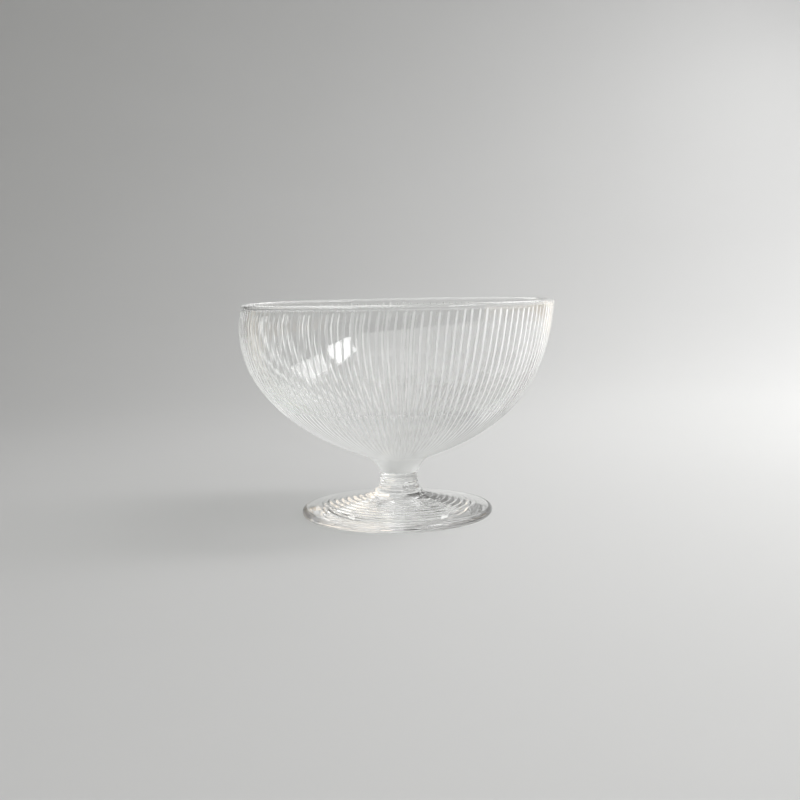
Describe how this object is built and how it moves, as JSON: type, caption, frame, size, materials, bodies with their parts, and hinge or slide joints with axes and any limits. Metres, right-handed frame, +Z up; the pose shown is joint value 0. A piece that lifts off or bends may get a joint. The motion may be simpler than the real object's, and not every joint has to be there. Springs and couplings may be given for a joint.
{
  "type": "compote dish",
  "caption": "Footed glass dessert dish: a round blown bowl with fine white upright lines in its wall, on a short clear stem and a round clear foot.",
  "frame": {"origin": "centre of the foot's underside, on the surface that the dish stands on", "axes": "+Z up along the axis of the bowl, stem and foot; the dish is round, so +X and +Y are any two level directions"},
  "size_m": [0.1104, 0.1104, 0.0762],
  "materials": {
    "lined_glass": "colourless fire-polished glass with milky white lines",
    "clear_glass": "colourless fire-polished glass"
  },
  "bodies": {
    "root": {"bowl": "lined_glass", "stem": "clear_glass", "foot": "clear_glass"}
  },
  "joints": []
}
